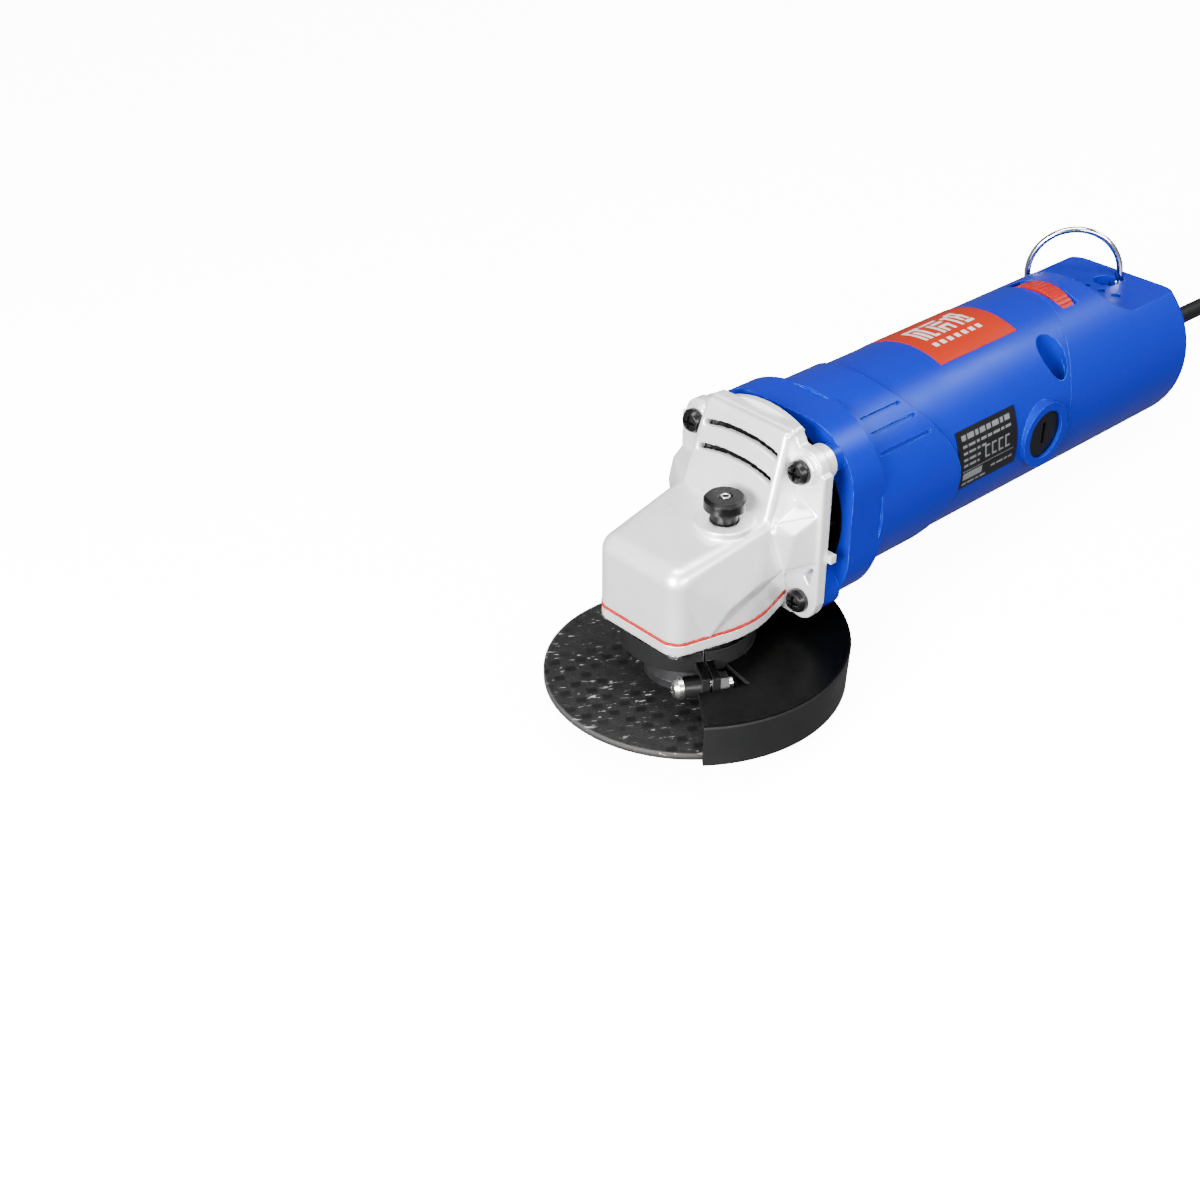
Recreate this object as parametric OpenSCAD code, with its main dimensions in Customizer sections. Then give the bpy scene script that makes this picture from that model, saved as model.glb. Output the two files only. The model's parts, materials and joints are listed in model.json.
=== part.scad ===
/* [Body] */
// Outer diameter of the round motor housing
body_d = 69; // [68:0.5:70]
// Distance from the spindle axis back to the end of the tail
tail_x = 241; // [239:1:246]
// Wall thickness of the moulded shells
wall = 2.5; // [2.2:0.1:2.8]
// Half width of the square flare behind the gear case
flare_half = 34.5; // [34:0.25:35]
// Corner radius of the flare
flare_round = 22; // [20:1:24]

/* [Gear case] */
// Height of the flat underside below the motor axis
case_floor = 24; // [24:0.5:25]
// Radius of the case corners at the nose
nose_round = 6.6; // [6:0.2:7]
// Distance of the nose corner centres ahead of the spindle
nose_x = 18.8; // [18:0.2:19.4]
// Half distance between the nose corner centres
nose_y = 13.5; // [13:0.5:14]
// Half distance between the flange screws, across
screw_y = 25.5; // [25:0.25:26]
// Half distance between the flange screws, in height
screw_z = 25; // [24.5:0.25:25.5]

/* [Wheel] */
// Diameter of the cutting disc
disc_d = 100; // [98:1:102]
// Thickness of the cutting disc
disc_t = 2.6; // [2:0.2:2.6]
// Bore of the cutting disc
disc_bore = 16; // [16:1:20]
// Inner radius of the guard's skirt
guard_r = 54.6; // [54:0.2:55]
// Sheet thickness of the guard
guard_t = 1.5; // [1.2:0.1:1.6]
// Depth of the guard's skirt
guard_h = 16; // [14:0.5:16]
// Angle of the guard's first end, from straight ahead
guard_from = 51; // [49:1:52]
// Sweep of the guard
guard_sweep = 180; // [170:5:180]

/* [Gears] */
// Teeth on the pinion
pinion_teeth = 11; // [11:1:11]
// Teeth on the bevel gear
gear_teeth = 36; // [36:1:36]
// Tooth module at the large end
gear_module = 1; // [1:0.01:1]

/* [Controls] */
// Travel of the lock button
lock_travel = 2.5; // [2:0.5:2.5]
// Radius of the speed dial
dial_r = 19; // [18.6:0.1:19.2]
// Travel of the switch slider
switch_travel = 7; // [5:1:7]

/* [Cord] */
// Diameter of the mains lead
cord_d = 7; // [6.5:0.5:7]

/* [Hidden] */
$fn = 48;

body_r = body_d / 2;
inner_r = body_r - wall;
gap = 0.05;

// The tool is drawn with its motor axis along X and its spindle along Z, then leant back
// until the tail and the flange nut stand on the ground.
tail_round = 4;
nut_r = 15;
nut_z = -61.6;
lean_dx = tail_x - tail_round - nut_r;
lean_dz = -(body_r - tail_round) - nut_z;
lean = acos(tail_round / norm([lean_dx, lean_dz])) - atan2(lean_dx, lean_dz);
lift = nut_r * sin(lean) - nut_z * cos(lean);
flat_z = 24.9;
disc_z = -55.6;
guard_outer_r = guard_r + guard_t;
front_x = disc_d / 2 * cos(lean) - disc_z * sin(lean);
rear_x = -tail_x * cos(lean) - flat_z * sin(lean);
rest_x = -(front_x + rear_x) / 2;
rest_y = -(guard_outer_r - disc_d / 2) / 2;

module at_rest() { translate([rest_x, rest_y, lift]) rotate([0, -lean, 0]) children(); }

// Solids along the tool's own axes
module x_rod(r, x0, x1, y = 0, z = 0) {
  translate([x0, y, z]) rotate([0, 90, 0]) cylinder(r = r, h = x1 - x0);
}
module y_rod(r, y0, y1, x = 0, z = 0) {
  translate([x, y0, z]) rotate([-90, 0, 0]) cylinder(r = r, h = y1 - y0);
}
module z_rod(r, z0, z1, x = 0, y = 0) { translate([x, y, z0]) cylinder(r = r, h = z1 - z0); }
// A profile of [radius, x] points turned about the motor axis
module x_turn(points) { rotate([0, 90, 0]) rotate_extrude($fn = 96) polygon(points); }
// A profile of [radius, z] points turned about the spindle axis
module z_turn(points) { rotate_extrude($fn = 96) polygon(points); }
module box(lo, hi) { translate(lo) cube(hi - lo); }
// Turns about the motor axis from the left side (+Y) up towards the top
module around(angle) { rotate([angle, 0, 0]) children(); }
module both_sides() { for (side = [0, 1]) mirror([0, side, 0]) children(); }
// An outline of [y, z] extruded along X
module x_plate(x0, x1) {
  translate([x0, 0, 0]) rotate([90, 0, 90]) linear_extrude(height = x1 - x0) children();
}
module rounded_square(half, round) {
  inner = half - round;
  square([2 * half, 2 * inner], center = true);
  square([2 * inner, 2 * half], center = true);
  for (y = [-inner, inner], z = [-inner, inner]) translate([y, z]) circle(r = round);
}
// A pan-head screw pointing along +X from its head's underside at x = 0, head towards +X
module pan_screw(head_r, head_h, shank_r, length) {
  difference() {
    union() {
      x_turn([[0, 0], [head_r, 0], [head_r, head_h * 0.45], [head_r * 0.78, head_h * 0.85],
              [head_r * 0.4, head_h], [0, head_h]]);
      x_rod(shank_r, -length, 0.1);
    }
    for (turn = [0, 90])
      around(turn) box([head_h * 0.4, -head_r * 0.6, -0.55], [head_h + 1, head_r * 0.6, 0.55]);
  }
}

// ---- Gear case ----

flange_back = -32;
flange_front = -27.5;
case_screw_r = 2;
case_head_r = 4.3;
hub_r = 14.5;
gear_room_r = 19.2;
lock_x = -6;
lock_y = 9.4;
pin_r = 1.8;
boss_top = 8.2;
stem_r = 4.6;
well_floor = 2.2;

// The arc along each side of the nose, at its foot
side_r = 40;
side_half = 24.8;
side_x = -4;

module foot_outline(grow) {
  hull() {
    for (side = [-1, 1]) {
      polygon([for (a = [-26:2:24])
        [side_x + side_r * sin(a), side * (side_half + grow - side_r * (1 - cos(a)))]]);
      translate([nose_x, side * nose_y]) circle(r = nose_round + grow, $fn = 32);
      translate([-24, side * 13]) circle(r = 7 + grow, $fn = 32);
    }
  }
}

module nose_top(side) {
  translate([nose_x, side * nose_y, -3.5]) sphere(r = nose_round, $fn = 32);
  translate([-15, side * 18, 4]) sphere(r = 4, $fn = 32);
}

module nose() {
  hull() {
    translate([0, 0, -case_floor]) linear_extrude(height = 0.1) foot_outline(0);
    for (side = [-1, 1]) nose_top(side);
  }
}

module vent_box() {
  hull($fn = 24) {
    for (side = [-1, 1]) {
      translate([-16.5, side * 18.5, 5]) sphere(r = 2.5, $fn = 24);
      translate([-25.8, side * 17, 34.5]) sphere(r = 2, $fn = 24);
      y_rod(1, -19, 19, -29, 35.5, $fn = 24);
      y_rod(1, -21, 21, -29, 0, $fn = 24);
    }
  }
}

module blob(points) { hull() for (p = points) translate(p) sphere(r = 0.8, $fn = 16); }

// Side gusset between the flange and the nose
module gusset() {
  blob([[-26, 23.5, 11.8], [-28.6, 30.8, 9.6], [-20.7, 27.2, 3.7], [-17.2, 22.4, 7.2],
        [-16.4, 22.8, 4.2], [-18.4, 26.3, -8.6], [-29, 31.4, -7.2], [-30, 22, 13],
        [-30, 22, -11], [-19, 20, -11]]);
}

// Boss for the side handle, on the right side
module handle_boss() {
  blob([[-29, -32.5, 11], [-24, -32.5, 7.5], [-22, -32.5, 0], [-23, -32.5, -6], [-30, -32.5, -9],
        [-30, -22, 14], [-20, -21, 10], [-16, -21, 4], [-17, -21, -10], [-30, -22, -13]]);
}

// Cheek along the side of the nose: it stands out over the foot
module cheek() {
  hull() {
    nose_top(1);
    for (p = [[12.2, 22.2, -23.1], [6, 24.2, -14.6], [2, 24.6, -13.2], [-3, 24.7, -11.5],
              [-8.5, 24.6, -9.8], [-19.5, 24, -9.9], [-19, 14, -18], [6, 14, -20]])
      translate(p) sphere(r = 0.8, $fn = 16);
  }
}

lug_r = 7;
pad_front = -25.4;
// Flange screws as [y, z, x of the face under the head]
case_screws_at = [[screw_y - 1, screw_z, pad_front], [1 - screw_y, screw_z, pad_front],
                  [screw_y, -screw_z, flange_front], [-screw_y, -screw_z, flange_front]];

module flange_outline() {
  square([66, 2 * screw_z], center = true);
  square([2 * screw_y - 6, 2 * (screw_z + lug_r)], center = true);
  for (p = case_screws_at) translate([p[0], p[1]]) circle(r = lug_r);
  polygon([[-22, 31], [-18, 37], [18, 37], [22, 31]]);
}

// Curved exhaust slot through the vent face
module vent_slot(mid_z) {
  arc_r = 68;
  half_w = 16.7;
  thick = 2.3;
  intersection() {
    translate([0, 0, mid_z - arc_r]) rotate([0, 90, 0]) translate([0, 0, -30])
      difference() {
        cylinder(r = arc_r + thick / 2, h = 30, $fn = 180);
        translate([0, 0, -1]) cylinder(r = arc_r - thick / 2, h = 32, $fn = 180);
      }
    box([-31, -half_w, mid_z - 8], [0, half_w, mid_z + 8]);
  }
}

module gear_case() at_rest() color("gainsboro") difference() {
  union() {
    nose();
    vent_box();
    gusset();
    handle_boss();
    both_sides() cheek();
    x_plate(flange_back, flange_front) flange_outline();
    for (i = [0, 1]) x_rod(5.5, flange_back, pad_front, case_screws_at[i][0], screw_z);
    x_rod(22.5, -30, -20);
    z_rod(10, -4, boss_top, lock_x, lock_y);
  }
  // room for the bevel gear
  z_turn([[0, -case_floor - 1], [gear_room_r + 2, -case_floor - 1], [gear_room_r + 2, -10],
          [gear_room_r, -9], [gear_room_r, -2.6], [12, -0.4], [0, -0.4]]);
  // room for the pinion, and the seat of the bearing plate's hub
  x_turn([[0, -33], [hub_r + gap, -33], [hub_r + gap, -24], [9, -24], [9, -22],
          [7.4, -17.5], [5.7, -12.9], [4.2, -12.5], [4.2, -8], [0, -8]]);
  // vent duct behind the slotted face, open to the rear
  translate([0, 17, 0]) rotate([90, 0, 0]) linear_extrude(height = 34)
    polygon([[-33, 16.8], [-20.3, 16.8], [-26.2, 33.9], [-33, 33.9]]);
  vent_slot(30.5);
  vent_slot(22.4);
  // lock pin guide, and the well for the button's stem and spring
  z_rod(pin_r + gap, -5, boss_top + 1, lock_x, lock_y);
  z_rod(stem_r + 0.4, well_floor, boss_top + 1, lock_x, lock_y);
  // triangular openings over the lower screws
  both_sides() x_plate(flange_back - 1, flange_front + 0.5)
    polygon([[26.6, -14.6], [30.7, -9.6], [29.5, -18]]);
  // flange screw holes
  for (p = case_screws_at) {
    x_rod(case_screw_r + 0.2, flange_back - 1, pad_front + 1, p[0], p[1]);
    x_rod(case_head_r + 0.4, p[2], p[2] + 6, p[0], p[1]);
  }
  // side handle thread
  y_rod(4, -40, -22, -26.5, 0.5);
  // cover screw holes
  for (p = cover_holes) z_rod(1.6, -case_floor - 1, -case_floor + 8, p[0], p[1]);
}

cover_holes = [[21.3, 15.7], [21.3, -15.7], [-20.5, 14], [-20.5, -14]];

module gear_case_screws() at_rest() color("dimgray") {
  for (p = case_screws_at)
    translate([p[2], p[0], p[1]]) pan_screw(case_head_r, 3.7, case_screw_r, 22);
}

// ---- Underside: gasket, bearing cover, spindle bearing ----

gasket_t = 0.8;
cover_top = -case_floor - gasket_t;
cover_bottom = -29;
neck_r = 21;
neck_bottom = -38.5;

module case_outline(grow = 0) {
  intersection() {
    foot_outline(grow);
    translate([flange_front + 0.1, -40]) square([80, 80]);
  }
}

module case_gasket() at_rest() color("firebrick") difference() {
  translate([0, 0, cover_top]) linear_extrude(height = gasket_t) case_outline(0.3);
  z_rod(gear_room_r + 1, -30, 0);
  for (p = cover_holes) z_rod(1.7, -30, 0, p[0], p[1]);
}

module bearing_cover() at_rest() color("silver") difference() {
  union() {
    translate([0, 0, cover_bottom]) linear_extrude(height = cover_top - cover_bottom)
      case_outline();
    z_rod(neck_r, neck_bottom, cover_bottom + 0.5);
  }
  z_turn([[0, -40], [9.5, -40], [9.5, -33], [14, -33], [14, -24], [0, -24]]);
  for (p = cover_holes) z_rod(1.7, -30, 0, p[0], p[1]);
}

module cover_screws() at_rest() color("lightgray") {
  for (p = cover_holes)
    translate([p[0], p[1], cover_bottom]) rotate([0, 90, 0]) pan_screw(3.2, 2.4, 1.5, 10);
}

// A sealed ball bearing with its axis along X
module bearing(bore_r, outer_r, x0, x1) {
  lip = (outer_r - bore_r) * 0.25;
  dip = 0.5;
  x_turn([[bore_r, x0], [bore_r + lip, x0], [bore_r + lip, x0 + dip],
          [outer_r - lip, x0 + dip], [outer_r - lip, x0], [outer_r, x0], [outer_r, x1],
          [outer_r - lip, x1], [outer_r - lip, x1 - dip], [bore_r + lip, x1 - dip],
          [bore_r + lip, x1], [bore_r, x1]]);
}

module spindle_bearing() at_rest() color("silver") rotate([0, -90, 0])
  bearing(6 + gap, 14, -33, -25);

module upper_bush() at_rest() color("peru") z_turn([[3.75 + gap, -6], [5.5, -6], [5.5, -0.4],
                                                    [3.75 + gap, -0.4]]);

// ---- Spindle ----

nut_top = disc_z;
disc_top = disc_z + disc_t;
flange_top = -46.5;

module spindle() at_rest() color("lightsteelblue") difference() {
  z_turn([[0, -61], [5, -61], [5, -42], [7.5, -42], [7.5, -33.1], [6, -33.1], [6, -6.4],
          [3.75, -6.4], [3.75, -1.4], [0, -1.4]]);
  box([5, -1.5, -16], [7, 1.5, -9]);
  // hex socket in the end
  z_rod(2.5, -62, -56, $fn = 6);
}

module gear_key() at_rest() color("gray") box([5, -1.5, -16], [7.4, 1.5, -9]);

// Bevel gear teeth: the two pitch cones share their apex where the axes cross
gear_pitch_r = gear_module * gear_teeth / 2;
pinion_pitch_r = gear_module * pinion_teeth / 2;
cone_length = norm([gear_pitch_r, pinion_pitch_r]);
pinion_cone = atan(pinion_pitch_r / gear_pitch_r);
gear_cone = 90 - pinion_cone;
// Tooth halves as [height above the pitch cone, half thickness] at the large end
pinion_tooth = [[-0.95, 0.8], [-0.35, 0.8], [0, 0.77], [0.6, 0.55], [1.15, 0.18]];
gear_tooth = [[-1.4, 1.05], [0, 0.56], [0.65, 0.32]];

function tooth_point(p, side, cone, pitch_r, height) = let (
    r = height * tan(cone + atan(p[0] / cone_length)),
    turn = side * p[1] / (pitch_r + p[0] * cos(cone)) * 180 / PI)
  [r, turn];
function tooth_side(tooth, side, cone, pitch_r, height) =
  [for (p = tooth) tooth_point(p, side, cone, pitch_r, height)];
function reversed(list) = [for (i = [len(list) - 1:-1:0]) list[i]];
// Outline of a toothed cone cut square to its axis at a height from the apex
function star(tooth, teeth, cone, pitch_r, height) = [
  for (i = [0:teeth - 1])
    let (half = concat(tooth_side(tooth, -1, cone, pitch_r, height),
                       reversed(tooth_side(tooth, 1, cone, pitch_r, height))))
      for (p = half)
        let (turn = p[1] + i * 360 / teeth) [p[0] * cos(turn), p[0] * sin(turn)]];

// A toothed cone below the apex, between two depths
module toothed_cone(tooth, teeth, cone, pitch_r, near, far) {
  translate([0, 0, -far])
    linear_extrude(height = far - near, scale = near / far)
      polygon(star(tooth, teeth, cone, pitch_r, far));
}

module bevel_gear() at_rest() color("darkgray") difference() {
  union() {
    z_turn([[6 + gap, -16], [9.5, -16], [9.5, -12], [16.6, -10.4], [17.9, -8.6],
            [17.45, -7.05], [13.2, -5.4], [13, -6.5], [6 + gap, -6.5]]);
    intersection() {
      toothed_cone(gear_tooth, gear_teeth, gear_cone, gear_pitch_r, 3, 8);
      z_turn([[13.3, -6], [13.3, -5.2], [13.78, -3.4], [18.3, -4.7], [17.55, -7], [16.8, -8]]);
    }
  }
  // sockets for the lock pin
  for (turn = [0:90:270])
    rotate([0, 0, turn]) z_rod(pin_r + 0.3, -17, -3, lock_x, lock_y);
  box([5, -1.55, -17], [7.45, 1.55, -5]);
}

module inner_flange() at_rest() color("silver") difference() {
  union() {
    z_turn([[5 + gap, disc_z + 0.6], [7.95, disc_z + 0.6], [7.95, disc_top], [15, disc_top],
            [15, disc_top + 3], [11, flange_top], [5 + gap, flange_top]]);
    z_turn([[7.6, flange_top], [7.6, -42.1], [10, -42.1], [10.5, flange_top + 0.5]]);
  }
  z_rod(5 + gap, -60, -40);
}

module cutting_disc() at_rest() color("dimgray") difference() {
  z_rod(disc_d / 2, disc_z, disc_top, $fn = 180);
  z_rod(disc_bore / 2, disc_z - 1, disc_top + 1);
}

module flange_nut() at_rest() color("gray") difference() {
  z_turn([[5 + gap, nut_z], [nut_r, nut_z], [nut_r, nut_z + 2.8], [12, nut_top],
          [5 + gap, nut_top]]);
  z_turn([[0, nut_z - 1], [6.5, nut_z - 1], [6.5, nut_z], [5.2, nut_z + 1.3], [0, nut_z + 1.3]]);
  for (turn = [0:90:270]) rotate([0, 0, turn]) z_rod(1.75, nut_z - 1, nut_z + 3.5, 10, 0);
}

// ---- Guard ----

plate_top = -37.9;
plate_bottom = plate_top - guard_t;
skirt_bottom = plate_top - guard_h;
band_r = neck_r + 0.05;
band_t = 2.4;
clamp_turn = 59;
clamp_reach = 9;
clamp_r = 30;
clamp_z = -40;

module guard() at_rest() color("black") {
  difference() {
    rotate([0, 0, guard_from]) rotate_extrude(angle = guard_sweep, $fn = 180)
      polygon([[band_r + band_t + gap, plate_bottom], [guard_r - 1.5, plate_bottom],
               [guard_r, plate_bottom - 1.5], [guard_r - 0.7, skirt_bottom + 1.2],
               [guard_r - 1.9, skirt_bottom + 1.2], [guard_r - 1.9, skirt_bottom],
               [guard_outer_r - 0.7, skirt_bottom], [guard_outer_r, plate_top - 0.9],
               [guard_outer_r - 0.25, plate_top - 0.25], [guard_outer_r - 0.9, plate_top],
               [band_r + band_t + gap, plate_top]]);
    rotate([0, 0, guard_from - 1]) rotate_extrude(angle = 29)
      translate([neck_r, plate_bottom - 1]) square([16, guard_t + 2]);
  }
}

// Clamp band round the neck, with two ears drawn together by the clamp screw
module guard_band() at_rest() color("dimgray") difference() {
  union() {
    rotate([0, 0, clamp_turn + 1.3]) rotate_extrude(angle = 357.4, $fn = 96)
      translate([band_r, plate_bottom]) square([band_t, 8]);
    rotate([0, 0, clamp_turn]) {
      for (side = [-1, 1])
        box([neck_r + 1, side * 1.8 - 1.3, -44], [neck_r + 13, side * 1.8 + 1.3, -35]);
      // collar under the screw's head
      y_rod(3.7, -clamp_reach, -2.5, clamp_r, clamp_z);
    }
  }
  z_rod(band_r, -50, -20, $fn = 96);
  rotate([0, 0, clamp_turn]) box([neck_r - 2, -0.5, -50], [neck_r + 5, 0.5, -20]);
  rotate([0, 0, clamp_turn]) y_rod(2.1, -clamp_reach - 1, 8, clamp_r, clamp_z);
}

module clamp_screw() at_rest() color("silver")
  rotate([0, 0, clamp_turn]) translate([clamp_r, -clamp_reach, clamp_z])
    rotate([0, 0, -90]) pan_screw(3.75, 3.6, 2, 17);

module clamp_nut() at_rest() color("silver") rotate([0, 0, clamp_turn]) difference() {
  y_rod(3.9, 3.15, 6.4, clamp_r, clamp_z, $fn = 6);
  y_rod(2.02, 3, 8, clamp_r, clamp_z);
}

// ---- Spindle lock ----

cap_r = 7.2;
cap_top = 17;
cap_bottom = 12.8;
stem_bottom = 8;
pin_bottom = -5.9;

module lock_button() at_rest() color("black") translate([lock_x, lock_y, 0]) difference() {
  z_turn([[0, stem_bottom], [stem_r, stem_bottom], [stem_r, cap_bottom], [cap_r, cap_bottom],
          [cap_r, cap_top - 1], [cap_r - 1, cap_top],
          [2.6, cap_top], [1.4, cap_top - 1], [0, cap_top - 1]]);
  z_rod(pin_r + gap, stem_bottom - 1, cap_bottom + 1.3);
}

module lock_pin() at_rest() color("silver") translate([lock_x, lock_y, 0])
  z_turn([[0, pin_bottom], [pin_r - 0.3, pin_bottom], [pin_r, pin_bottom + 0.5],
          [pin_r, cap_bottom + 1.2], [0, cap_bottom + 1.2]]);

// Coil spring under the button's stem, as a stack of rings
module lock_spring() at_rest() color("gray") translate([lock_x, lock_y, 0])
  for (i = [0:4]) translate([0, 0, well_floor + 0.45 + i * 1.2])
    rotate_extrude() translate([3.4, 0]) circle(r = 0.35, $fn = 16);

// ---- Motor: front ----

module bearing_plate() at_rest() color("lightgray") difference() {
  union() {
    x_rod(29.2, -34.5, flange_back - gap, $fn = 180);
    intersection() {
      x_rod(38.3, -34.5, flange_back - gap, $fn = 180);
      box([-40, -17, 0], [-30, 17, 40]);
    }
    x_rod(hub_r, -36, -24.1);
    for (i = [0, 1]) x_rod(6.2, -36, flange_back - gap, case_screws_at[i][0], screw_z);
    box([-34.5, 27, -9], [flange_back - gap, 34.5, -6]);
  }
  x_turn([[0, -40], [11.5, -40], [11.5, -35], [13, -35], [13, -26.9], [10, -26.9], [10, -20],
          [0, -20]]);
  // air ways to the vent duct
  difference() {
    x_turn([[17.5, -40], [29, -40], [29, -30], [17.5, -30]]);
    for (turn = [0:45:135]) rotate([turn, 0, 0]) box([-41, -30, -1.5], [-29, 30, 1.5]);
    box([-41, -40, -40], [-29, 40, 6]);
  }
  for (p = case_screws_at) x_rod(case_screw_r + 0.2, -45, -30, p[0], p[1]);
}

module front_bearing() at_rest() color("silver") bearing(5 + gap, 13, -35, -27);

// ---- Rotor ----

module armature_shaft() at_rest() color("silver")
  x_turn([[0, -171], [3.7, -171], [4, -170.6], [4, -158], [5, -158], [5, -26.95], [2.5, -26.95],
          [2.5, -13.3], [2, -13.3], [2, -9.6], [0, -9.6]]);

module pinion() at_rest() color("gray") difference() {
  union() {
    rotate([0, 90, 0])
      intersection() {
        rotate([0, 0, 180 / pinion_teeth])
          toothed_cone(pinion_tooth, pinion_teeth, pinion_cone, pinion_pitch_r, 12, 20);
        z_turn([[0, -13.6], [3.4, -13.7], [5.2, -13.25], [6.9, -17.6], [4.4, -18.4], [0, -18.4]]);
      }
    x_rod(4.7, -26.9, -18);
  }
  x_rod(2.5 + gap, -30, -10);
}

module pinion_nut() at_rest() color("dimgray") difference() {
  union() {
    x_rod(3.3, -13.25, -12.6);
    x_rod(3.46, -12.65, -9.9, $fn = 6);
  }
  x_rod(2 + gap, -14, -9);
}

module fan() at_rest() color("black") {
  difference() {
    union() {
      x_turn([[5 + gap, -50], [27, -50], [27, -48.4], [9, -48.4], [9, -37.5], [5 + gap, -37.5]]);
      for (i = [0:14])
        around(i * 24) box([-48.5, 11, -0.7], [-38, 26.6, 0.7]);
    }
    x_rod(5 + gap, -60, -30);
  }
}

core_r = 16.5;
slots = 12;

module armature_core() at_rest() color("slategray") difference() {
  x_rod(core_r, -112, -68);
  x_rod(5 + gap, -120, -60);
  for (i = [0:slots - 1]) around(i * 360 / slots) {
    x_rod(2.1, -113, -67, 12.4, 0);
    box([-113, 12, -0.8], [-67, 18, 0.8]);
  }
}

module armature_windings() at_rest() color("chocolate") {
  x_turn([[5.6, -67.9], [15, -67.9], [15.4, -65], [14, -60], [11, -58], [5.6, -58]]);
  x_turn([[5.6, -121], [11, -121], [14, -119], [15.4, -115], [15, -112.1], [5.6, -112.1]]);
}

module commutator() at_rest() color("peru") difference() {
  x_turn([[5 + gap, -157], [11.5, -157], [11.5, -137], [13, -136], [13, -133], [5 + gap, -133]]);
  for (i = [0:23]) around(i * 15) box([-158, 10.9, -0.25], [-132, 14, 0.25]);
}

module rear_bearing() at_rest() color("silver") bearing(4 + gap, 11, -170, -163);

module bearing_sleeve() at_rest() color("black") difference() {
  x_rod(12.5, -170.5, -162);
  x_rod(11.03, -171, -162.9);
  x_rod(9, -172, -160);
}

module fan_baffle() at_rest() color("dimgray")
  x_turn([[19, -54], [30.3, -54], [30.3, -41.3], [29.2, -41.3], [29.2, -52.4], [21, -52.4],
          [20.2, -50.8], [19, -50.8]]);

// ---- Motor housing ----

step_r = body_r + 1;
joint_r = 43.5;
joint_x = -162 - joint_r;
brush_x = -146;
cap_recess = 1.2;
boss_out = body_r + 1.5;
boss_r = 12.5;
brush_cap_r = 9.3;
screw_x = -160;
screw_side = 24.5;
bore_r = 6.25;
bore_floor = 10;
tongue_top = 6;
slider_turn = 163;

// The tail's shell is cut from the housing's along an upright curve on both sides
module joint_cut(clear) { y_rod(joint_r - clear, -60, 60, joint_x, 0, $fn = 180); }

// The joining screws stand upright, one from above on the left and one from below on the right
module screw_places() {
  for (turn = [0, 180]) around(turn) translate([screw_x, screw_side, 0]) children();
}

module housing_shell() {
  x_rod(body_r, -181, -60, $fn = 180);
  // flare
  intersection() {
    x_plate(-58, -41) rounded_square(flare_half, flare_round, $fn = 96);
    x_turn([[0, -58.1], [step_r, -58.1], [flare_half + 6, -53.5], [flare_half + 6, -40], [0, -40]]);
  }
  // raised front section, ending in a curved step
  difference() {
    x_rod(step_r, -98, -56, $fn = 180);
    z_rod(40.8, -50, 50, -117.8, 0, $fn = 180);
  }
  // screw bosses: the lower ones reach the flange, the upper ones the bearing plate
  for (i = [2, 3]) x_rod(6.2, -41.1, flange_back - gap, case_screws_at[i][0], -screw_z);
  for (i = [0, 1]) x_rod(5, -41.1, -36 - gap, case_screws_at[i][0], screw_z);
  for (side = [-1, 1]) y_rod(boss_r, side > 0 ? 30 : -boss_out, side > 0 ? boss_out : -30, brush_x);
}

module housing_inside() around(20) {
  x_turn([[0, -55], [inner_r, -55], [inner_r, -190], [0, -190]]);
  x_turn([[0, -30], [30.4, -30], [30.4, -56], [0, -56]]);
}

module housing_ribs() {
  // four rails that hold the stator
  for (turn = [45:90:315]) around(turn)
    box([-122, 29.55, -3], [-60, inner_r + 1, 3]);
  // spider that carries the rear bearing
  x_rod(15, -172, -160);
  for (turn = [45:90:315]) around(turn) box([-172, 12, -3], [-156, inner_r + 1, 3]);
  screw_places() z_rod(bore_r + 2, tongue_top, 40);
}

// Room for the ribs: they join the shell ahead of the joint and stay clear of the tail's
module ribs_room() {
  x_rod(inner_r - 0.3, -200, -50, $fn = 180);
  difference() {
    x_rod(inner_r + 0.5, -200, -50, $fn = 180);
    joint_cut(-1);
  }
}

module motor_housing() at_rest() color("royalblue") difference() {
  union() {
    difference() {
      housing_shell();
      housing_inside();
      joint_cut(0);
    }
    intersection() {
      housing_ribs();
      ribs_room();
    }
  }
  // bearing seat
  x_rod(12.5, -173, -161.9);
  x_rod(8, -173, -150);
  // grooves behind the flare
  both_sides() for (p = [[57, -80], [47, -83], [35, -86]])
    around(p[0]) box([p[1], step_r - 1, -0.6], [-60, 40, 0.6]);
  // flange screw pilots
  for (p = case_screws_at) x_rod(case_screw_r + gap, -52, -30, p[0], p[1]);
  // brush openings and cap seats
  y_rod(6.5 + gap, -40, 40, brush_x);
  for (side = [-1, 1])
    y_rod(brush_cap_r + gap, side > 0 ? boss_out - 4 : -40, side > 0 ? 40 : 4 - boss_out, brush_x);
  // bores for the joining screws
  screw_places() {
    z_rod(bore_r, bore_floor, 40);
    z_rod(1.9, 0, 40);
  }
  // slot for the switch slider
  around(slider_turn + 3) box([-128, 28, -2.6], [-106, 40, 2.6]);
}

// ---- Stator and brushes ----

stator_r = 29.5;
stator_bore = 17.1;

module stator_core() at_rest() color("slategray") difference() {
  x_rod(stator_r, -114, -66, $fn = 96);
  x_rod(stator_bore, -115, -65, $fn = 96);
  // coil windows beside both poles
  for (turn = [0, 180]) around(turn) for (side = [-1, 1])
    around(90 + side * 38) rotate([0, 90, 0]) translate([0, 0, -115])
      linear_extrude(height = 50) polygon([[-6.5, 16], [6.5, 16], [7.5, 25.5], [-7.5, 25.5]]);
  for (turn = [0, 180]) around(turn) x_rod(2.05, -115, -65, 27, 0);
}

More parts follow.
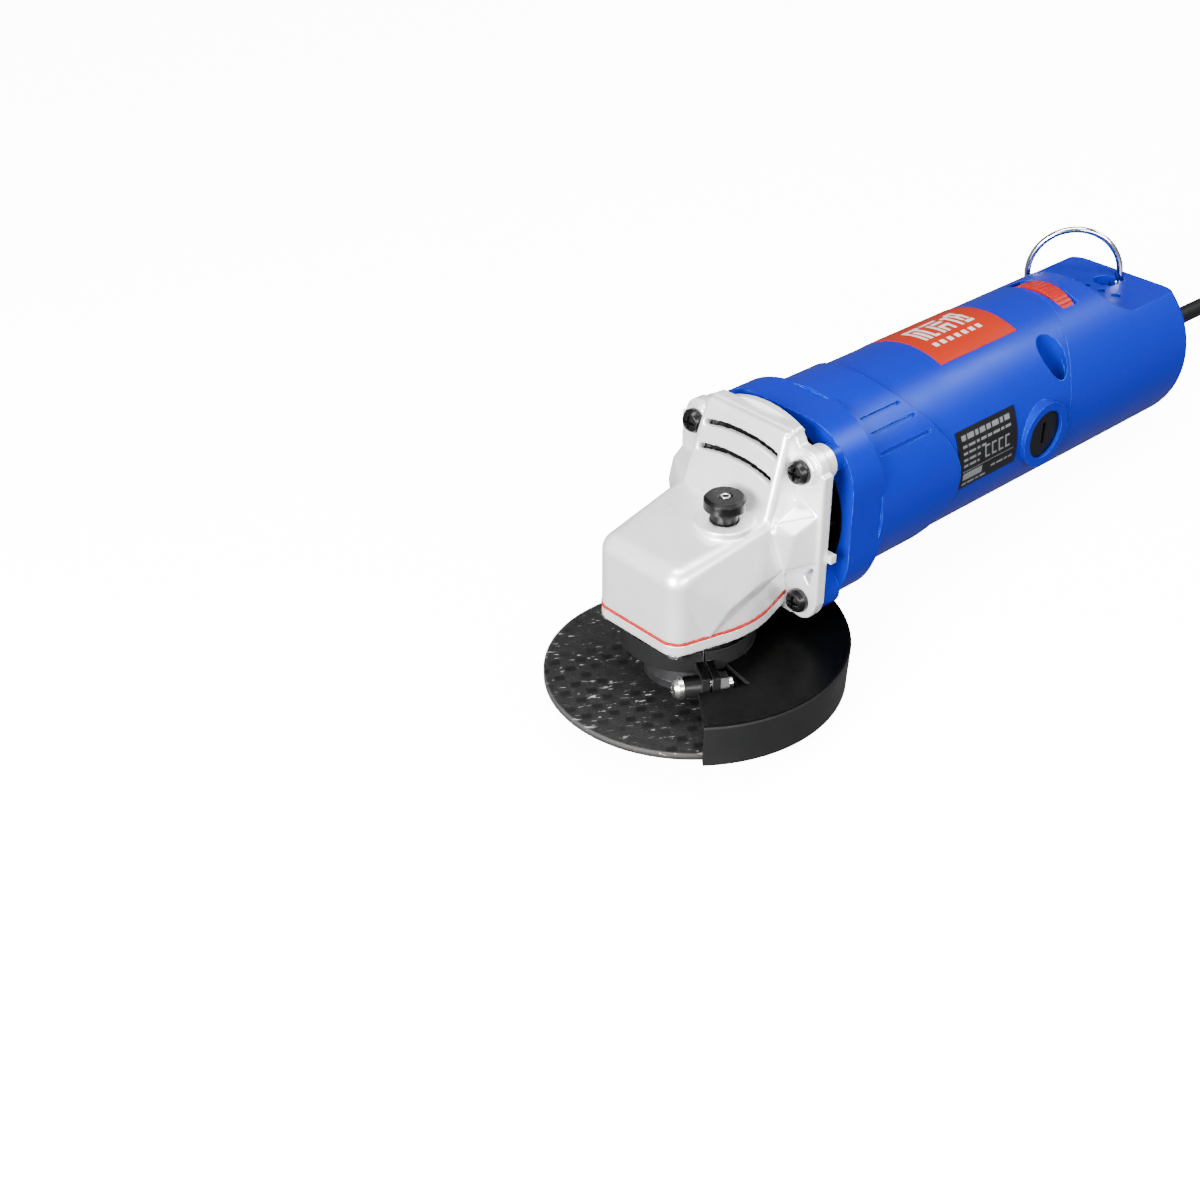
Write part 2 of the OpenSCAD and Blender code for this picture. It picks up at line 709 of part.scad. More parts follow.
module field_coils() at_rest() color("chocolate")
  for (pole = [90, 270]) around(pole) {
    for (side = [-1, 1]) around(side * 38) box([-118, 18, -5.2], [-62, 24.5, 5.2]);
    for (x = [-122, -62.2])
      translate([x, 0, 0]) rotate([0, 90, 0]) rotate([0, 0, 47])
        rotate_extrude(angle = 86, $fn = 72) translate([18, 0]) square([6.5, 4.2]);
  }

module stator_screws() at_rest() color("silver")
  for (turn = [0, 180]) around(turn) translate([-65.9, 27, 0]) pan_screw(2.4, 2, 1.9, 52);

module brush_holders() at_rest() color("peru")
  both_sides() difference() {
    union() {
      y_rod(6.5, 13, boss_out - 4.1, brush_x);
      box([brush_x - 5, 12.6, -6], [brush_x + 5, 20, 6]);
    }
    box([brush_x - 3.1, 12, -4.1], [brush_x + 3.1, 40, 4.1]);
  }

module carbon_brushes() at_rest() color("black")
  both_sides() difference() {
    box([brush_x - 3, 11.6, -4], [brush_x + 3, 24, 4]);
    x_rod(11.6, -160, -130, 0, 0);
  }

module brush_springs() at_rest() color("silver")
  both_sides() for (i = [0:4])
    translate([brush_x, 24.6 + i * 1.4, 0]) rotate([90, 0, 0])
      rotate_extrude() translate([2.2, 0]) circle(r = 0.4, $fn = 16);

module brush_caps() at_rest() color("black")
  both_sides() difference() {
    y_rod(brush_cap_r, boss_out - 4, boss_out - cap_recess, brush_x);
    box([brush_x - 0.9, boss_out - cap_recess - 1, -4.5], [brush_x + 0.9, 40, 4.5]);
  }

// ---- Tail cover ----

dial_z = 16.4;
dial_front = -181;
dial_back = -189;
cord_z = -9;
hole_x = -228.1;
ring_pin = 3.3;
ring_a = [-236, 1, 22];
ring_b = [-213.5, -26.5, 19.1];
ring_span = norm(ring_b - ring_a);
ring_mid = (ring_a + ring_b) / 2;
ring_turn = atan2(ring_b[1] - ring_a[1], ring_b[0] - ring_a[0]);
ring_tilt = asin((ring_a[2] - ring_b[2]) / ring_span);

// The hanging ring's own axes: X along its hinge, Z up in its plane
module ring_frame() { translate(ring_mid) rotate([0, ring_tilt, ring_turn]) children(); }

module tail_outer(shrink) {
  r = body_r - shrink;
  end = -tail_x + shrink;
  round = tail_round - shrink / 2;
  difference() {
    x_turn([[0, -155], [r, -155], [r, end + round],
            for (t = [15:15:75]) [r - round + round * cos(t), end + round - round * sin(t)],
            [r - round, end], [0, end]]);
    box([-tail_x - 1, -40, flat_z - shrink], [-214.5, 40, 50]);
    y_rod(15 + shrink, -40, 40, -214.5, flat_z + 15);
  }
}

// Tongues that reach forward under the housing's bores
module tongues() screw_places() difference() {
  box([-8, -4, -1], [5, 4, tongue_top - gap]);
  z_rod(1.5 + gap, -2, 10);
}

module tail_cover() at_rest() color("royalblue") {
  tail_shell();
  tongues();
}

module tail_shell() difference() {
  union() {
    difference() {
      tail_outer(0);
      tail_outer(wall);
    }
    intersection() {
      tail_outer(1);
      union() {
        // roots of the tongues that take the joining screws
        screw_places() box([-20, -4, -1], [-7, 9, tongue_top - gap]);
        // saddle under the cord and posts for its clamp
        box([-232, -12, -33], [-224, 12, cord_z - 3.6]);
        // bearings of the hanging ring
        ring_frame() for (side = [-1, 1])
          box([side > 0 ? ring_span / 2 - 5.4 : -ring_span / 2 + 1.6, -3, -3],
              [side > 0 ? ring_span / 2 - 1.6 : -ring_span / 2 + 5.4, 3, 6]);
        // floor of the hole in the flat
        z_rod(6.5, flat_z - 6, flat_z - 1, hole_x, 0);
      }
    }
  }
  // everything ahead of the joint belongs to the motor housing
  difference() {
    box([joint_x, -50, -50], [-150, 50, 50]);
    joint_cut(0.1);
  }
  // dial slot
  box([-189.9, -13.5, 20], [-180.3, 13.5, 40]);
  x_rod(dial_r + 0.5, -190, -180.2, 0, dial_z);
  // hole and four dimples in the flat
  z_rod(5, flat_z - 4, flat_z + 1, hole_x, 0);
  for (i = [0:3]) z_rod(1 + 0.3 * i, flat_z - 1.2, flat_z + 2, -219, -9 + i * 6.6);
  // cord outlet
  x_rod(6.6, -tail_x - 1, -tail_x + 4, 0, cord_z);
  // slots and bores of the hanging ring
  ring_frame() {
    for (side = [-1, 1]) translate([side * ring_span / 2, 0, 0]) box([-1.6, -4.6, -1.9], [1.6, 4.6, 12]);
    x_rod(wire_r + gap, -ring_span / 2 - 1, -ring_span / 2 + ring_pin + 0.5);
    x_rod(wire_r + gap, ring_span / 2 - ring_pin - 0.5, ring_span / 2 + 1);
  }
}

module tail_screws() at_rest() color("dimgray")
  screw_places() translate([0, 0, bore_floor]) rotate([0, -90, 0]) pan_screw(3, 2, 1.5, 10.5);

module speed_dial() at_rest() color("orangered") difference() {
  x_rod(dial_r, dial_back, dial_front, 0, dial_z, $fn = 96);
  x_rod(2.5 + gap, dial_back - 1, dial_front + 1, 0, dial_z);
  for (i = [0:59]) translate([0, 0, dial_z]) around(i * 6)
    x_rod(0.35, dial_back - 1, dial_front + 1, dial_r, 0, $fn = 12);
}

module speed_board() at_rest() color("seagreen") {
  box([-196, -19, 2], [-194.4, 19, 23]);
  x_rod(8, -194.4, -190.5, 0, dial_z - 2.5);
  x_rod(2.5, -190.6, dial_front, 0, dial_z);
}

module power_switch() at_rest() color("black") box([-222, -26, -9], [-200, -9, 9]);

module switch_slider() at_rest() color("black") {
  difference() {
    around(slider_turn) union() {
      translate([-117.5, body_r + 0.4, 0]) rotate([-90, 0, 0])
        linear_extrude(height = 2.2) square([21, 12], center = true);
      for (x = [-124:3:-111]) box([x - 0.5, body_r + 2.5, -5], [x + 0.5, body_r + 3.3, 5]);
    }
    x_rod(body_r + 0.35, -140, -90, $fn = 180);
  }
  around(slider_turn + 3) box([-127.5, 30.7, -2.2], [-113.5, body_r + 1, 2.2]);
  intersection() {
    x_turn([[30, -203], [31.4, -203], [31.4, -100], [30, -100]]);
    around(slider_turn - 3) box([-199.5, 20, -2.5], [-115, 40, 2.5]);
  }
}

module cord_clamp() at_rest() color("black") difference() {
  box([-231.5, -11, cord_z - 3.5], [-224.5, 11, cord_z + 7]);
  x_rod(cord_d / 2 + 0.9, -240, -220, 0, cord_z);
}

// ---- Cord ----

boot_end = -tail_x - 26;

module cord_boot() at_rest() color("black") difference() {
  translate([0, 0, cord_z]) x_turn([
    [0, boot_end], [4.7, boot_end], [5.1, boot_end + 8], [5.8, boot_end + 16],
    [6.5, -tail_x - 2.2], [8.2, -tail_x - 2.2], [8.2, -tail_x], [6.5, -tail_x],
    [6.5, -tail_x + 3.5], [0, -tail_x + 3.5]]);
  x_rod(cord_d / 2 + 0.1, boot_end - 1, -tail_x + 5, 0, cord_z);
}

// Route of the straight part, in the ground frame
cord_route = [[-145.7, -3, 24.8], [-160, -3, 23.1], [-175, -3, 21.3], [-190, -3, 19.4],
              [-205, -3, 17.4], [-215, -3, 16], [-225, -3.4, 14.4], [-235, -4.5, 12.6],
              [-245, -6.4, 10.8], [-255, -9.1, 9], [-268, -13, 7], [-281, -16.9, 5.4],
              [-294, -20.8, 4.4], [-309, -25.3, 3.9]];

function unit(v) = v / norm(v);
function along(path, i) =
  unit(path[min(i + 1, len(path) - 1)] - path[max(i - 1, 0)]);
function ring_points(path, i, r, sides) = let (
    d = along(path, i),
    side = unit(cross([0, 0, 1], d)),
    up = cross(d, side))
  [for (k = [0:sides - 1])
    path[i] + r * (cos(k * 360 / sides) * side + sin(k * 360 / sides) * up)];

module sweep(path, r, sides = 10) {
  rings = len(path);
  points = [for (i = [0:rings - 1]) each ring_points(path, i, r, sides)];
  walls = [for (i = [0:rings - 2], k = [0:sides - 1])
    [i * sides + k, (i + 1) * sides + k,
     (i + 1) * sides + (k + 1) % sides, i * sides + (k + 1) % sides]];
  first = [for (k = [0:sides - 1]) k];
  last = [for (k = [sides - 1:-1:0]) (rings - 1) * sides + k];
  polyhedron(points = points, faces = concat([first], walls, [last]), convexity = 6);
}

module power_cord() color("black") sweep(cord_route, cord_d / 2);

coil_x = -348;
coil_y = 10;
coil_in = 33.5;
coil_out = 49.5;
coil_h = 28;
coil_mid = (coil_in + coil_out) / 2;
tie_t = 0.8;

module coil_place() { translate([coil_x, coil_y, tie_t]) children(); }

module cord_coil() color("black") coil_place()
  rotate_extrude($fn = 96) translate([coil_in, 0])
    polygon([[2, 0], [14, 0], [16, 2], [16, coil_h - 3], [13, coil_h], [3, coil_h],
             [0, coil_h - 3], [0, 2]]);

// Tie strap round the coil
module cord_tie() color("dimgray") coil_place() translate([0, coil_mid, coil_h / 2])
  difference() {
    cube([6, 16.8 + 2 * tie_t, coil_h + 2 * tie_t], center = true);
    cube([8, 16.8, coil_h], center = true);
  }

// The plug lies on top of the coil's turns
module plug_body() color("black") coil_place() y_rod(8, -16, 14, -coil_mid, coil_h + 8);

module plug_pins() color("gold") coil_place()
  for (side = [-1, 1]) y_rod(2, 14, 33, -coil_mid + side * 5, coil_h + 8);

// ---- Labels and hanging ring ----

label_t = 0.25;

module skin(x0, x1, turn, width) {
  intersection() {
    x_turn([[body_r + 0.02, x0], [body_r + label_t, x0], [body_r + label_t, x1],
            [body_r + 0.02, x1]]);
    around(turn) translate([(x0 + x1) / 2, 0, 0]) rotate([-90, 0, 0])
      linear_extrude(height = 60) square([x1 - x0, width], center = true);
  }
}

module top_label() at_rest() color("orangered") skin(-152, -109, 102, 39.6);

module rating_plate() at_rest() color("dimgray") skin(-130.5, -97.5, 8.5, 21.9);

wire_r = 1.25;
leg_h = 4.9;

module hanging_ring() at_rest() color("silver") ring_frame() {
  translate([0, 0, leg_h]) rotate([90, 0, 0])
    rotate_extrude(angle = 180, $fn = 96) translate([ring_span / 2, 0]) circle(r = wire_r, $fn = 24);
  for (side = [-1, 1]) {
    z_rod(wire_r, 0, leg_h, side * ring_span / 2, 0, $fn = 24);
    translate([side * ring_span / 2, 0, 0]) sphere(r = wire_r, $fn = 24);
    x_rod(wire_r, side > 0 ? ring_span / 2 - ring_pin : -ring_span / 2,
          side > 0 ? ring_span / 2 : -ring_span / 2 + ring_pin, $fn = 24);
  }
}

gear_case();
gear_case_screws();
case_gasket();
bearing_cover();
cover_screws();
spindle_bearing();
upper_bush();
spindle();
bevel_gear();
gear_key();
inner_flange();
cutting_disc();
flange_nut();
guard();
guard_band();
clamp_screw();
clamp_nut();
lock_button();
lock_pin();
lock_spring();
bearing_plate();
front_bearing();
armature_shaft();
armature_core();
armature_windings();
commutator();
fan();
pinion();
pinion_nut();
rear_bearing();
bearing_sleeve();
fan_baffle();
motor_housing();
stator_core();
field_coils();
stator_screws();
brush_holders();
carbon_brushes();
brush_springs();
brush_caps();
tail_cover();
tail_screws();
speed_dial();
speed_board();
power_switch();
switch_slider();
cord_clamp();
cord_boot();
power_cord();
cord_coil();
cord_tie();
plug_body();
plug_pins();
top_label();
rating_plate();
hanging_ring();
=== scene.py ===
"""An angle grinder's looks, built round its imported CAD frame."""

import json
import math

import bpy
from mathutils import Matrix, Vector

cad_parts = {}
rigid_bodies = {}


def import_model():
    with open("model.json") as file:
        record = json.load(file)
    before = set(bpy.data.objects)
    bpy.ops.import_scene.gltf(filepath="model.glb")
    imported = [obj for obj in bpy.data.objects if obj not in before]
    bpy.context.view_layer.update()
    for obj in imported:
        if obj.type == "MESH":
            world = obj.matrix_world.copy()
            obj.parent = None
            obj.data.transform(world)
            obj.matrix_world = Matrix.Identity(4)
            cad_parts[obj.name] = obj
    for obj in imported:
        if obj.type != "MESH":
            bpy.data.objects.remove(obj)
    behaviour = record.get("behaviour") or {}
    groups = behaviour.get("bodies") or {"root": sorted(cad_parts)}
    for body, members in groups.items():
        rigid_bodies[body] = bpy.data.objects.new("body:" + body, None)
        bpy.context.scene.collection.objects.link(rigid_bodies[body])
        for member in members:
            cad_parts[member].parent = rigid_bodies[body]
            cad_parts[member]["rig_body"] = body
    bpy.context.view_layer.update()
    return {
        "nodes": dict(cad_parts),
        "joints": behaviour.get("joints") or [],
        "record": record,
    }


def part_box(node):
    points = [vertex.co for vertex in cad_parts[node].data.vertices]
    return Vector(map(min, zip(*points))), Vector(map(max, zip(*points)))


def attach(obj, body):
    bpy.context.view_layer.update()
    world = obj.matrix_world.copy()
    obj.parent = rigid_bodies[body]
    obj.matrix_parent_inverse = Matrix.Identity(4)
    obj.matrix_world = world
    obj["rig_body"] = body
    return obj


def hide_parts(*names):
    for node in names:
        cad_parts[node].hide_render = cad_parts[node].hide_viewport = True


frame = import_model()

MM = 0.001
nodes = frame["nodes"]
joints = {j["name"]: j for j in frame["joints"]}

# The tool's own axes: X forward along the motor, Y to the left, Z up along the spindle
forward = Vector(joints["rotor_spin"]["axis"]).normalized()
upward = Vector(joints["spindle_spin"]["axis"]).normalized()
TOOL = Matrix((forward, upward.cross(forward), upward)).transposed().to_4x4()
TOOL.translation = Vector(joints["spindle_spin"]["pos_m"])
TO_TOOL = TOOL.inverted()


# ---- Camera ----

AIM = (45.0, 4.7, -3.7)  # the point looked at, in mm along the tool's axes
VIEW_TURN, VIEW_RISE = 47.89, 33.1  # degrees round and above that point
VIEW_DISTANCE = 600.0  # mm
LENS, SENSOR = 56.37, 36  # mm
NEAREST, FARTHEST = 0.02, 20  # m


def make_camera():
    turn, rise = math.radians(VIEW_TURN), math.radians(VIEW_RISE)
    back = Vector((math.cos(rise) * math.cos(turn), math.cos(rise) * math.sin(turn),
                   math.sin(rise)))
    right = Vector((-math.sin(turn), math.cos(turn), 0))
    stand = Matrix((right, back.cross(right), back)).transposed().to_4x4()
    stand.translation = (Vector(AIM) + back * VIEW_DISTANCE) * MM
    data = bpy.data.cameras.new("camera")
    data.lens = LENS
    data.sensor_width = SENSOR
    data.clip_start, data.clip_end = NEAREST, FARTHEST
    camera = bpy.data.objects.new("camera", data)
    camera.matrix_world = TOOL @ stand
    bpy.context.scene.collection.objects.link(camera)
    bpy.context.scene.camera = camera


make_camera()


# ---- Materials ----


class Graph:
    """Short names for building one material's nodes."""

    def __init__(self, name):
        self.material = bpy.data.materials.new(name)
        self.material.use_nodes = True
        self.tree = self.material.node_tree
        self.shader = self.tree.nodes["Principled BSDF"]
        self.place = self.add("ShaderNodeTexCoord").outputs["Object"]

    def add(self, kind, **settings):
        node = self.tree.nodes.new(kind)
        for key, value in settings.items():
            setattr(node, key, value)
        return node

    def link(self, value, socket):
        if isinstance(value, bpy.types.NodeSocket):
            self.tree.links.new(value, socket)
        else:
            socket.default_value = value

    def noise(self, size_mm, detail=3.0, rough=0.5, place=None):
        node = self.add("ShaderNodeTexNoise")
        self.link(place or self.place, node.inputs["Vector"])
        node.inputs["Scale"].default_value = 1 / (size_mm * MM)
        node.inputs["Detail"].default_value = detail
        node.inputs["Roughness"].default_value = rough
        return node.outputs["Fac"]

    def spread(self, value, low, high, new_low=0.0, new_high=1.0):
        node = self.add("ShaderNodeMapRange")
        for key, v in zip(("Value", "From Min", "From Max", "To Min", "To Max"),
                          (value, low, high, new_low, new_high)):
            self.link(v, node.inputs[key])
        return node.outputs["Result"]

    def math(self, operation, a, b=0.0):
        node = self.add("ShaderNodeMath", operation=operation)
        self.link(a, node.inputs[0])
        self.link(b, node.inputs[1])
        return node.outputs[0]

    def mix(self, amount, a, b):
        node = self.add("ShaderNodeMix", data_type="RGBA")
        self.link(amount, node.inputs["Factor"])
        for value, key in ((a, 6), (b, 7)):
            self.link(value if isinstance(value, bpy.types.NodeSocket) else (*value, 1.0),
                      node.inputs[key])
        return node.outputs[2]

    def rounded(self, radius_mm):
        node = self.add("ShaderNodeBevel", samples=4)
        node.inputs["Radius"].default_value = radius_mm * MM
        return node.outputs["Normal"]

    def edges(self, normal):
        """1 along rounded-off edges, 0 on open faces."""
        dot = self.add("ShaderNodeVectorMath", operation="DOT_PRODUCT")
        self.link(normal, dot.inputs[0])
        self.link(self.add("ShaderNodeNewGeometry").outputs["Normal"], dot.inputs[1])
        return self.spread(dot.outputs["Value"], 0.96, 0.82)

    def bump(self, height, depth_mm, normal=None):
        node = self.add("ShaderNodeBump")
        node.inputs["Strength"].default_value = 1.0
        node.inputs["Distance"].default_value = depth_mm * MM
        self.link(height, node.inputs["Height"])
        if normal:
            self.link(normal, node.inputs["Normal"])
        return node.outputs["Normal"]

    def finish(self, **sockets):
        names = {"colour": "Base Color", "rough": "Roughness", "metal": "Metallic",
                 "normal": "Normal",
                 "specular": "Specular IOR Level", "tint": "Specular Tint"}
        for key, value in sockets.items():
            self.link(value, self.shader.inputs[names[key]])
        return self.material


def surface(name, colour, rough, metal=0.0, mottle=0.1, mottle_size=25, grain_size=0.6,
            grain_depth=0.02, rounding=0.35, edge=None, edge_amount=0.5, specular=0.5,
            tint=(1.0, 1.0, 1.0)):
    """A moulded, cast, painted or machined surface: soft edges, grain, uneven gloss, painted edge
    highlight.
    """
    g = Graph(name)
    cloud = g.noise(mottle_size, 4)
    dark = [c * (1 - mottle) for c in colour]
    light = [min(1, c * (1 + mottle)) for c in colour]
    tone = g.mix(g.spread(cloud, 0.3, 0.7), dark, light)
    normal = g.rounded(rounding)
    if edge:
        # a lighter colour along the edges, broken up by noise: a painted highlight
        painted_edge_highlight = g.math("MULTIPLY", g.edges(normal), g.spread(g.noise(3, 5), 0.35, 0.65))
        tone = g.mix(g.math("MULTIPLY", painted_edge_highlight, edge_amount), tone, edge)
    smear = g.noise(mottle_size * 0.35, 5, 0.65)
    return g.finish(
        colour=tone, metal=metal, specular=specular, tint=(*tint, 1.0),
        rough=g.spread(smear, 0.25, 0.75, rough * 0.82, min(1, rough * 1.18)),
        normal=g.bump(g.noise(grain_size, 2), grain_depth, normal))


# Each material: colour, roughness, metal; sizes in mm
# edge is the colour of a painted highlight along the rounded edges
looks = {
    "cast_alloy": surface("cast_alloy", (0.9, 0.9, 0.905), 0.33, 0.62, mottle=0.05, mottle_size=18,
                          grain_size=1.6, grain_depth=0.012, rounding=0.4,
                          edge=(0.98, 0.98, 0.98), edge_amount=0.6),
    "blue_shell": surface("blue_shell", (0.0, 0.005, 0.24), 0.34, mottle=0.03, mottle_size=60,
                          grain_size=3.0, grain_depth=0.006, rounding=0.3,
                          edge=(0.05, 0.2, 0.85), edge_amount=0.8, specular=0.4,
                          tint=(0.08, 0.4, 1.0)),
    "black_screw": surface("black_screw", (0.004, 0.004, 0.0045), 0.3, 0.3, grain_size=0.4,
                           edge=(0.06, 0.06, 0.062), rounding=0.25, specular=0.35),
    "zinc_steel": surface("zinc_steel", (0.72, 0.72, 0.7), 0.26, 1.0, mottle=0.12, mottle_size=3,
                          grain_size=0.3, rounding=0.25, edge=(0.95, 0.95, 0.94)),
    "red_gasket": surface("red_gasket", (0.3, 0.004, 0.002), 0.6, mottle=0.15, mottle_size=6,
                          grain_size=0.3, grain_depth=0.03, rounding=0.15),
    "bearing_steel": surface("bearing_steel", (0.68, 0.68, 0.7), 0.16, 1.0, mottle=0.05,
                             grain_size=0.2, grain_depth=0.004),
    "bronze": surface("bronze", (0.5, 0.3, 0.13), 0.38, 0.9, mottle=0.15, mottle_size=4,
                      grain_size=0.25, grain_depth=0.02),
    "machined_steel": surface("machined_steel", (0.6, 0.6, 0.62), 0.28, 1.0, mottle=0.08,
                              mottle_size=5, grain_size=0.2, grain_depth=0.006),
    "gear_steel": surface("gear_steel", (0.38, 0.38, 0.4), 0.34, 1.0, mottle=0.15, mottle_size=4,
                          grain_size=0.3, rounding=0.15, edge=(0.7, 0.7, 0.72)),
    "dark_steel": surface("dark_steel", (0.03, 0.03, 0.032), 0.45, 0.7, mottle=0.15, mottle_size=6,
                          rounding=0.3, edge=(0.2, 0.2, 0.2)),
    "black_plastic": surface("black_plastic", (0.0015, 0.0015, 0.0016), 0.34, mottle=0.15,
                             grain_size=0.4, grain_depth=0.012, edge=(0.012, 0.012, 0.012),
                             specular=0.3),
    "spring_steel": surface("spring_steel", (0.5, 0.5, 0.5), 0.3, 1.0, mottle_size=2,
                            grain_size=0.2, grain_depth=0.004, rounding=0.1),
    "brass": surface("brass", (0.7, 0.5, 0.18), 0.28, 1.0, mottle_size=4, grain_size=0.2,
                     grain_depth=0.006),
    "carbon": surface("carbon", (0.03, 0.03, 0.032), 0.5, 0.1, mottle_size=2, grain_size=0.2),
    "soft_rubber": surface("soft_rubber", (0.003, 0.003, 0.0032), 0.5, mottle=0.2, mottle_size=12,
                           grain_size=0.5, grain_depth=0.02, specular=0.25),
    "orange_plastic": surface("orange_plastic", (0.24, 0.002, 0.0), 0.36, mottle=0.06,
                              grain_size=0.3, grain_depth=0.01, edge=(0.7, 0.06, 0.02),
                              specular=0.3),
    "orange_label": surface("orange_label", (0.25, 0.01, 0.0), 0.4, mottle=0.03,
                            mottle_size=30, grain_size=0.8, grain_depth=0.004, rounding=0.05,
                            specular=0.25),
    "label_print": surface("label_print", (0.4, 0.4, 0.39), 0.42, mottle=0.03, grain_size=0.5,
                           grain_depth=0.004, rounding=0.05),
    "dark_label": surface("dark_label", (0.002, 0.0022, 0.0028), 0.42, mottle=0.08, mottle_size=15,
                          grain_size=0.5, grain_depth=0.006, rounding=0.05, specular=0.3),
    "plate_print": surface("plate_print", (0.1, 0.105, 0.11), 0.45, mottle=0.05, grain_size=0.4,
                           grain_depth=0.004, rounding=0.05),
    "ring_steel": surface("ring_steel", (0.78, 0.78, 0.79), 0.14, 1.0, mottle=0.06, mottle_size=4,
                          grain_size=0.25, grain_depth=0.004, rounding=0.1),
}


def banded(name, colour, gap_colour, band_mm, axis, rough, metal):
    """Thin stacked or wound bands, square to one of the tool's axes."""
    g = Graph(name)
    laid = g.add("ShaderNodeMapping")
    g.link(g.place, laid.inputs["Vector"])
    laid.inputs["Rotation"].default_value = TO_TOOL.to_euler()
    split = g.add("ShaderNodeSeparateXYZ")
    g.link(laid.outputs["Vector"], split.inputs["Vector"])
    wave = g.math("SINE", g.math("MULTIPLY", split.outputs[axis], 2 * math.pi / (band_mm * MM)))
    seam = g.spread(wave, -0.6, -0.95)
    cloud = g.spread(g.noise(6, 4), 0.3, 0.7, 0.8, 1.1)
    tone = g.mix(seam, colour, gap_colour)
    bright = g.add("ShaderNodeVectorMath", operation="SCALE")
    g.link(tone, bright.inputs[0])
    g.link(cloud, bright.inputs["Scale"])
    return g.finish(colour=bright.outputs["Vector"], metal=metal,
                    rough=g.spread(g.noise(2, 3), 0.3, 0.7, rough * 0.8, rough * 1.2),
                    normal=g.bump(wave, 0.05))


looks["laminated_steel"] = banded("laminated_steel", (0.3, 0.3, 0.31), (0.1, 0.1, 0.1), 0.9, "X",
                                  0.4, 0.9)
looks["copper_wire"] = banded("copper_wire", (0.55, 0.2, 0.07), (0.2, 0.06, 0.02), 0.8, "Z",
                              0.35, 0.7)


def guard_look():
    """Black paint, less glossy and painted darker as shade where it faces up, with a painted edge
    highlight.
    """
    g = Graph("guard_paint")
    split = g.add("ShaderNodeSeparateXYZ")
    g.link(g.add("ShaderNodeTexCoord").outputs["Normal"], split.inputs["Vector"])
    facing_up_shade = g.spread(split.outputs["Z"], 0.55, 0.9)
    normal = g.rounded(0.4)
    painted_edge_highlight = g.math("MULTIPLY", g.edges(normal), g.spread(g.noise(3, 5), 0.35, 0.65, 0.1, 0.6))
    tone = g.mix(g.spread(g.noise(20, 4), 0.3, 0.7), (0.007, 0.007, 0.0072), (0.01, 0.01, 0.0102))
    # faces that look up are painted near black: painted shade
    tone = g.mix(facing_up_shade, tone, (0.0004, 0.0004, 0.0004))
    return g.finish(colour=g.mix(painted_edge_highlight, tone, (0.03, 0.03, 0.03)),
                    specular=g.spread(facing_up_shade, 0.0, 1.0, 0.25, 0.04),
                    rough=g.spread(g.noise(7, 5), 0.25, 0.75, 0.32, 0.42),
                    normal=g.bump(g.noise(1.1, 2), 0.02, normal))


looks["guard_paint"] = guard_look()


def board_look():
    g = Graph("circuit_board")
    cells = g.add("ShaderNodeTexVoronoi", feature="DISTANCE_TO_EDGE")
    g.link(g.place, cells.inputs["Vector"])
    cells.inputs["Scale"].default_value = 1 / (3 * MM)
    track = g.spread(cells.outputs["Distance"], 0.05, 0.09)
    return g.finish(colour=g.mix(track, (0.08, 0.3, 0.1), (0.01, 0.14, 0.04)), rough=0.4,
                    normal=g.bump(track, 0.03, g.rounded(0.2)))


looks["circuit_board"] = board_look()


WEAVE_MM = 9.4  # from one glass thread to the next but one
WEAVE_TURN = 60  # degrees from the tool's axis to the threads
RIM_FROM, RIM_TO = 49.2, 49.9  # mm from the middle, where the disc's edge turns lighter


